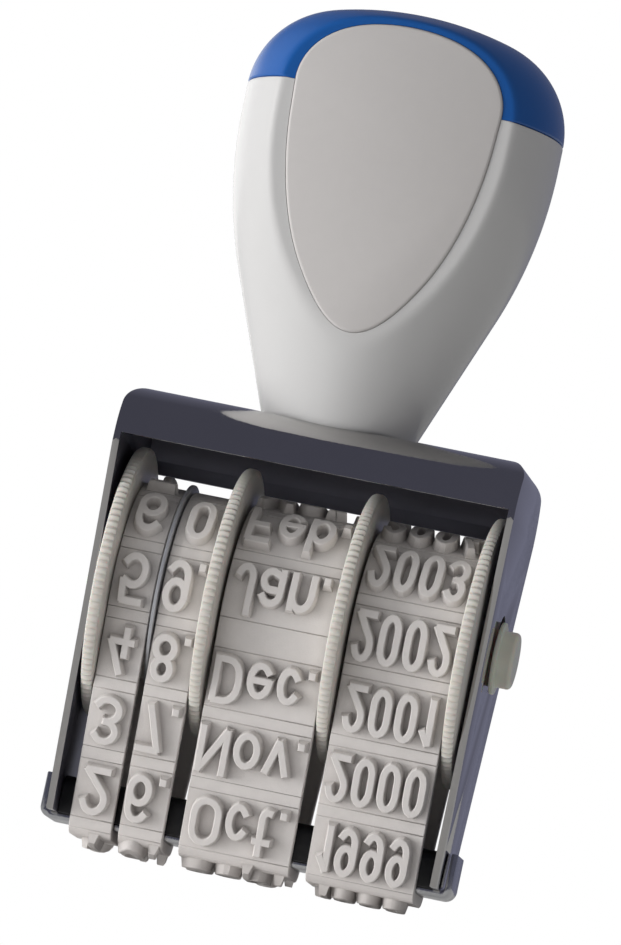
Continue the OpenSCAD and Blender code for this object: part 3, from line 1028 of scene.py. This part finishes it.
    def cap(self) -> bpy.types.Object:
        """The coloured cap on the handle.

        Returns:
            Its object.
        """
        low = self.cap_z
        outline = [(self.radius(low) - x, low + z) for x, z in self.seam_round()]
        turn = math.atan2(self.dome_from - self.corner_z, self.dome_x - self.corner_x)
        for i in range(1, self.corner_rows + 1):
            angle = turn * i / self.corner_rows
            x = self.corner_x + self.corner_r * math.cos(angle)
            outline.append((x, self.corner_z + self.corner_r * math.sin(angle)))
        start = math.asin(self.dome_x / self.dome_r)
        for i in range(1, self.dome_rows + 1):
            angle = start * (1 - i / self.dome_rows)
            outline.append((self.dome_r * math.sin(angle), self.dome_z + self.dome_r * math.cos(angle)))
        bm = Shop.cut(self.turned(outline), self.pocket())
        return Piece.make("handle_cap_shell", self._place(bm), CAP, "stamp", ["handle_cap"])

    def panel(self) -> bpy.types.Object:
        """The inlaid front panel.

        Returns:
            Its object.
        """
        near = self.flat_y + self.panel_proud
        bm = self.plate(self.border, near, self.flat_y - self.panel_seat)
        front = [e for e in bm.edges if all(abs(v.co.y + near) < TINY for v in e.verts)]
        bmesh.ops.bevel(bm, geom=front, offset=self.panel_ease, offset_type="OFFSET", affect="EDGES",
                        segments=self.panel_rows, profile=ROUND, material=-1)
        return Piece.make("inlaid_panel", self._place(self._screw_on(bm)), PANEL, "stamp", ["front_panel"])

    def build(self) -> None:
        """Builds the whole handle."""
        self.body()
        self.cap()
        self.panel()


@dataclass(frozen=True)
class Lamp:
    """A soft square lamp: its name, place, side in metres and watts."""

    name: str
    place: tuple[float, float, float]
    size: float
    power: float


@dataclass
class Studio:
    """Camera, light, floor and background."""

    azimuth: float = 7.6409
    elevation: float = -5.6022
    roll: float = 12.0656
    distance: float = 0.9
    focal_px: float = 10137.64
    frame_px: tuple[int, int] = (621, 945)
    sensor: float = 36.0
    far_end: float = 100.0
    target: tuple[float, float, float] = (-0.00164, 0.0, 0.036739)
    lamps: tuple[Lamp, ...] = (
        Lamp("key_left", (-0.75, -0.25, 0.0), 0.5, 5.5),
        Lamp("fill_front", (-0.45, -0.55, -0.25), 0.5, 1.6),
    )
    white: tuple[float, float, float, float] = (1.0, 1.0, 1.0, 1.0)
    ambient: tuple[float, float, float, float] = (0.276, 0.276, 0.276, 1.0)
    dim_front: tuple[float, float, float, float] = (0.088, 0.09, 0.125, 1.0)
    dim_rear: tuple[float, float, float, float] = (0.163, 0.167, 0.231, 1.0)
    rear_from: tuple[float, float] = (0.3, 0.97)
    sheet_depth: tuple[float, float] = (0.45, 0.8)
    sheet_side: tuple[float, float] = (-0.15, -0.3)
    sheet_height: tuple[float, float] = (0.35, 0.15)
    window_side: tuple[float, float] = (-0.5, -0.9)
    window_light: float = 0.5
    floor_half: float = 30.0
    floor_drop: float = 0.0003
    paper: Colour = (240, 240, 240)
    paper_glow: float = 0.56
    paper_gloss: float = 0.12

    def camera(self) -> None:
        """Sets the camera at the photograph's angle."""
        az, el, roll = (math.radians(v) for v in (self.azimuth, self.elevation, self.roll))
        back = Vector((math.sin(az) * math.cos(el), -math.cos(az) * math.cos(el), math.sin(el)))
        right = Vector((math.cos(az), math.sin(az), 0.0))
        up = back.cross(right)
        across = math.cos(roll) * right + math.sin(roll) * up
        tall = math.cos(roll) * up - math.sin(roll) * right
        data = bpy.data.cameras.new("camera")
        data.sensor_width = self.sensor
        # The sensor spans the picture's longer side.
        data.lens = self.focal_px * data.sensor_width / max(self.frame_px)
        data.clip_end = self.far_end
        obj = bpy.data.objects.new("camera", data)
        bpy.context.collection.objects.link(obj)
        turn = Matrix((across, tall, back)).transposed().to_4x4()
        obj.matrix_world = Matrix.Translation(Vector(self.target) + back * self.distance) @ turn
        bpy.context.scene.camera = obj

    def hang(self, lamp: Lamp) -> None:
        """Hangs a lamp that looks at the stamp.

        Args:
            lamp: The lamp.
        """
        data = bpy.data.lights.new(lamp.name, "AREA")
        data.size = lamp.size
        data.energy = lamp.power
        obj = bpy.data.objects.new(lamp.name, data)
        obj.visible_glossy = False
        bpy.context.collection.objects.link(obj)
        at = Vector(lamp.place)
        turn = (at - Vector(self.target)).to_track_quat("Z", "Y").to_matrix().to_4x4()
        obj.matrix_world = Matrix.Translation(at) @ turn

    def world(self) -> None:
        """A white background; mirrored, it is a white sheet and a window to the left in a dim, cool room."""
        world = bpy.data.worlds.new("studio")
        bpy.context.scene.world = world
        world.use_nodes = True
        g = Graph(world.node_tree)
        ray = g.add("ShaderNodeTexCoord", output="Generated")
        side, depth, height = (g.add("ShaderNodeSeparateXYZ", {}, {0: ray}, axis) for axis in "XYZ")
        seen, through, gloss = g.rays("Camera", "Transmission", "Glossy")
        sheet = g.ramp(depth, *self.sheet_depth) * g.ramp(side, *self.sheet_side)
        sheet = sheet * g.ramp(height, *self.sheet_height)
        window = g.ramp(side, *self.window_side, 0.0, self.window_light)
        bright = g.larger(sheet, window)
        room = g.mix(g.ramp(depth, *self.rear_from), self.dim_front, self.dim_rear)
        light = g.mix(gloss, self.ambient, g.mix(bright, room, self.white))
        colour = g.mix(g.larger(seen, through), light, self.white)
        back = g.add("ShaderNodeBackground", {}, {"Color": colour, "Strength": 1.0})
        g.add("ShaderNodeOutputWorld", {}, {"Surface": back})

    def floor(self) -> None:
        """A pale floor that only shows from above."""
        bm = bmesh.new()
        bmesh.ops.create_grid(bm, x_segments=1, y_segments=1, size=self.floor_half)
        bmesh.ops.translate(bm, verts=bm.verts, vec=(0, 0, -self.floor_drop))
        mesh = bpy.data.meshes.new("floor")
        bm.to_mesh(mesh)
        bm.free()
        obj = bpy.data.objects.new("floor", mesh)
        bpy.context.collection.objects.link(obj)
        made = bpy.data.materials.new("floor_paper")
        made.use_nodes = True
        g = Graph(made.node_tree)
        seen, mirrored, through, lit = g.rays("Camera", "Glossy", "Transmission", "Shadow")
        strength = seen * self.paper_glow + (mirrored + through) * self.paper_gloss
        glow = g.add("ShaderNodeEmission", {}, {"Strength": strength})
        matt = g.add("ShaderNodeBsdfDiffuse", {}, {"Color": linear(self.paper)})
        paper = g.add("ShaderNodeAddShader", {}, {0: matt, 1: glow})
        clear = g.add("ShaderNodeBsdfTransparent")
        under = g.add("ShaderNodeNewGeometry", output="Backfacing")
        hidden = g.larger(under, lit)
        both = g.add("ShaderNodeMixShader", {}, {0: hidden, 1: paper, 2: clear})
        g.add("ShaderNodeOutputMaterial", {}, {"Surface": both})
        mesh.materials.append(made)

    def build(self) -> None:
        """Builds the whole studio."""
        self.camera()
        self.world()
        self.floor()
        for lamp in self.lamps:
            self.hang(lamp)
        bpy.context.scene.view_settings.view_transform = "Standard"


# Rows of type are counted from the nose, positive up the front.
ROWS = range(-6, 7)
TENS = dict(zip(ROWS, ["", "", "", "", "", "0", "1", "2", "3", "4", "5", "6", "7"]))
UNITS = dict(zip(ROWS, ["", "", "1.", "2.", "3.", "4.", "5.", "6.", "7.", "8.", "9.", "0", ""]))
MONTHS = dict(zip(ROWS, ["", "Apr.", "May", "Jun.", "Jul.", "Aug.", "Sep.", "Oct.", "Nov.", "Dec.", "Jan.",
                         "Feb.", "Mar."]))
FIRST_YEAR = 1993
YEARS = dict(zip(ROWS, [""] + [str(FIRST_YEAR + i) for i in range(len(ROWS) - 1)]))

# Pieces that keep their CAD shape, with their finish and the width of their eased edges in millimetres.
NODE_FINISHES = {
    "nose_strip": (STEEL, 0.12), "nose_block": (BLACK, 0.15), "axle": (STEEL, 0.2),
    "bush_left": (BUSH, 0.1), "bush_right": (BUSH, 0.12), "divider_disc": (ALLOY, 0.06),
    "handle_screw": (STEEL, 0.15), "screw_washer": (STEEL, 0.1),
}


def main() -> None:
    """Builds every sub-assembly and reports it."""
    logging.basicConfig(level=logging.INFO)
    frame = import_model()
    for name, (finish, width) in NODE_FINISHES.items():
        bm = Shop.merged(frame["nodes"][name])
        Shop.ease(bm, width)
        Piece.make(f"{name}_eased", bm, finish, "stamp", [name])
    FrameShell().build(frame["nodes"]["frame"])
    TypeBand("tens", x=-15.635, width=3.85, words=TENS, digit_w=2.5, shift=1.3).build()
    TypeBand("units", x=-11.145, width=3.95, words=UNITS, digit_w=2.3, shift=1.4).build()
    TypeBand("month", x=-5.655, width=10.0, words=MONTHS, digit_w=2.45, shift=0.6, joint_row=4).build()
    TypeBand("year", x=5.885, width=9.75, words=YEARS, digit_w=1.95).build()
    SettingWheel("tens", x=-15.705, drum_w=3.99, side=RimSide.LEFT).build()
    SettingWheel("units", x=-11.215, drum_w=4.09, side=RimSide.RIGHT).build()
    SettingWheel("month", x=-5.725, drum_w=10.14, side=RimSide.RIGHT).build()
    SettingWheel("year", x=5.815, drum_w=9.89, side=RimSide.RIGHT).build()
    HandleGrip().build()
    Studio().build()


if __name__ == "__main__":
    main()
